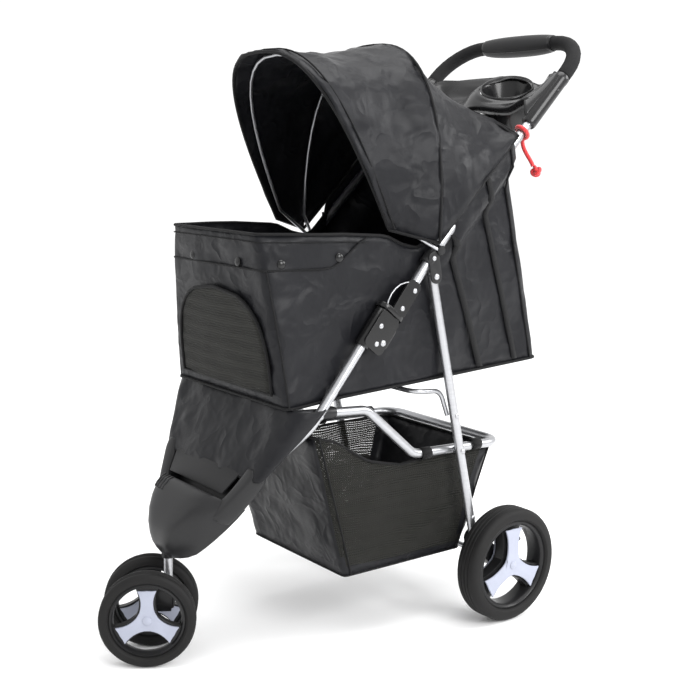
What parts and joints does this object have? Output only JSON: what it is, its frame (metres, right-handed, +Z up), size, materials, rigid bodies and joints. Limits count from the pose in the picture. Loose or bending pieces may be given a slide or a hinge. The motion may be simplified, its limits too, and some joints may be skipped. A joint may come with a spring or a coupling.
{
  "type": "pet stroller",
  "caption": "Folding three-wheeled pet stroller with fabric cabin, hooped canopy, storage basket, cup tray and swivelling front caster.",
  "frame": {"origin": "centre of the bounding box at ground level, with the front caster reversed", "axes": "+Z up, front towards -Y, the left side of the stroller at +X"},
  "size_m": [0.436, 0.8463, 0.9782],
  "materials": {
    "frame_silver": "satin",
    "black_plastic": "satin moulded",
    "gloss_plastic": "glossy",
    "grey_plastic": "fine texture",
    "light_plastic": "smooth pale grey",
    "rubber": "matte",
    "foam": "matte foam",
    "nylon": "satin nylon",
    "board": "covered board",
    "red_cord": "braided"
  },
  "bodies": {
    "front_frame": {"nose_shell": "grey_plastic", "foot_plate": "grey_plastic", "front_cover": "nylon", "cabin_body": "nylon", "floor_board": "board", "front_leg_left": "frame_silver", "latch_lower_left": "black_plastic", "front_pivot_pin_left": "frame_silver", "fold_pin_left": "frame_silver", "front_leg_right": "frame_silver", "latch_lower_right": "black_plastic", "front_pivot_pin_right": "frame_silver", "fold_pin_right": "frame_silver"},
    "upper_frame": {"handle_tube": "frame_silver", "centre_grip": "grey_plastic", "cup_tray": "gloss_plastic", "pull_cord": "red_cord", "pull_cord_knot": "red_cord", "canopy_rear_gore": "nylon", "foam_grip_left": "foam", "latch_upper_left": "black_plastic", "leg_bracket_left": "black_plastic", "leg_pin_left": "frame_silver", "foam_grip_right": "foam", "latch_upper_right": "black_plastic", "leg_bracket_right": "black_plastic", "leg_pin_right": "frame_silver"},
    "rear_frame": {"rear_axle": "frame_silver", "rear_leg_left": "frame_silver", "axle_bracket_left": "black_plastic", "rear_pivot_pin_left": "frame_silver", "rear_leg_right": "frame_silver", "axle_bracket_right": "black_plastic", "rear_pivot_pin_right": "frame_silver"},
    "basket_frame": {"basket_tube": "frame_silver", "storage_basket": "nylon"},
    "floor_brace": {"cross_brace": "frame_silver"},
    "caster": {"caster_stem": "frame_silver", "caster_fork": "black_plastic", "front_axle": "frame_silver"},
    "canopy_mid": {"mid_bow": "frame_silver"},
    "canopy_front": {"front_bow": "frame_silver", "canopy_front_gore": "nylon"},
    "latch_slider_left": {"latch_ring_left": "black_plastic"},
    "brake_left": {"brake_pedal_left": "grey_plastic"},
    "front_wheel_left": {"front_wheel_left_tyre": "rubber", "front_wheel_left_rim": "black_plastic", "front_wheel_left_cover": "light_plastic"},
    "rear_wheel_left": {"rear_wheel_left_tyre": "rubber", "rear_wheel_left_rim": "black_plastic", "rear_wheel_left_cover": "light_plastic"},
    "latch_slider_right": {"latch_ring_right": "black_plastic"},
    "brake_right": {"brake_pedal_right": "grey_plastic"},
    "front_wheel_right": {"front_wheel_right_tyre": "rubber", "front_wheel_right_rim": "black_plastic", "front_wheel_right_cover": "light_plastic"},
    "rear_wheel_right": {"rear_wheel_right_tyre": "rubber", "rear_wheel_right_rim": "black_plastic", "rear_wheel_right_cover": "light_plastic"}
  },
  "joints": [
    {"name": "frame_fold", "type": "hinge", "parent": "front_frame", "child": "upper_frame", "pos_m": [0, -0.0395, 0.4853], "axis": [-1, 0, 0], "range_deg": [0, 120], "deforming": ["cabin_body", "storage_basket", "canopy_rear_gore", "canopy_front_gore", "front_cover"]},
    {"name": "basket_fold", "type": "hinge", "parent": "front_frame", "child": "basket_frame", "pos_m": [0, -0.15164, 0.38492], "axis": [-1, 0, 0], "range_deg": [0, 70]},
    {"name": "rear_leg_fold", "type": "hinge", "parent": "upper_frame", "child": "rear_frame", "pos_m": [0, 0.0655, 0.58], "axis": [1, 0, 0], "range_deg": [0, 76]},
    {"name": "floor_brace_fold", "type": "hinge", "parent": "rear_frame", "child": "floor_brace", "pos_m": [0, 0.118, 0.35], "axis": [-1, 0, 0], "range_deg": [0, 57]},
    {"name": "canopy_mid_fold", "type": "hinge", "parent": "upper_frame", "child": "canopy_mid", "pos_m": [0, 0.07212, 0.62128], "axis": [-1, 0, 0], "range_deg": [0, 26], "deforming": ["canopy_rear_gore", "canopy_front_gore"]},
    {"name": "canopy_front_fold", "type": "hinge", "parent": "canopy_mid", "child": "canopy_front", "pos_m": [0, 0.07212, 0.62128], "axis": [-1, 0, 0], "range_deg": [0, 26], "deforming": ["canopy_front_gore"]},
    {"name": "caster_swivel", "type": "hinge", "parent": "front_frame", "child": "caster", "pos_m": [0, -0.313, 0.15], "axis": [0, 0, 1], "continuous": true},
    {"name": "latch_slide_left", "type": "slide", "parent": "upper_frame", "child": "latch_slider_left", "axis": [0, 0.6266, 0.7793], "range_m": [0, 0.025]},
    {"name": "front_wheel_spin_left", "type": "hinge", "parent": "caster", "child": "front_wheel_left", "pos_m": [0.01647, -0.35787, 0.073], "axis": [0.8434, -0.5373, 0], "continuous": true},
    {"name": "rear_wheel_spin_left", "type": "hinge", "parent": "rear_frame", "child": "rear_wheel_left", "pos_m": [0.196, 0.2155, 0.095], "axis": [1, 0, 0], "continuous": true},
    {"name": "brake_press_left", "type": "hinge", "parent": "rear_frame", "child": "brake_left", "pos_m": [0.163, 0.2298, 0.1057], "axis": [-1, 0, 0], "range_deg": [0, 18]},
    {"name": "latch_slide_right", "type": "slide", "parent": "upper_frame", "child": "latch_slider_right", "axis": [0, 0.6266, 0.7793], "range_m": [0, 0.025]},
    {"name": "front_wheel_spin_right", "type": "hinge", "parent": "caster", "child": "front_wheel_right", "pos_m": [-0.04763, -0.31704, 0.073], "axis": [0.8434, -0.5373, 0], "continuous": true},
    {"name": "rear_wheel_spin_right", "type": "hinge", "parent": "rear_frame", "child": "rear_wheel_right", "pos_m": [-0.196, 0.2155, 0.095], "axis": [1, 0, 0], "continuous": true},
    {"name": "brake_press_right", "type": "hinge", "parent": "rear_frame", "child": "brake_right", "pos_m": [-0.163, 0.2298, 0.1057], "axis": [-1, 0, 0], "range_deg": [0, 18]}
  ],
  "couplings": [
    {"joint": "basket_fold", "follows": "frame_fold", "ratio": 0.58},
    {"joint": "rear_leg_fold", "follows": "frame_fold", "ratio": 0.632},
    {"joint": "floor_brace_fold", "follows": "frame_fold", "ratio": 0.474},
    {"joint": "canopy_front_fold", "follows": "canopy_mid_fold", "ratio": 1}
  ]
}
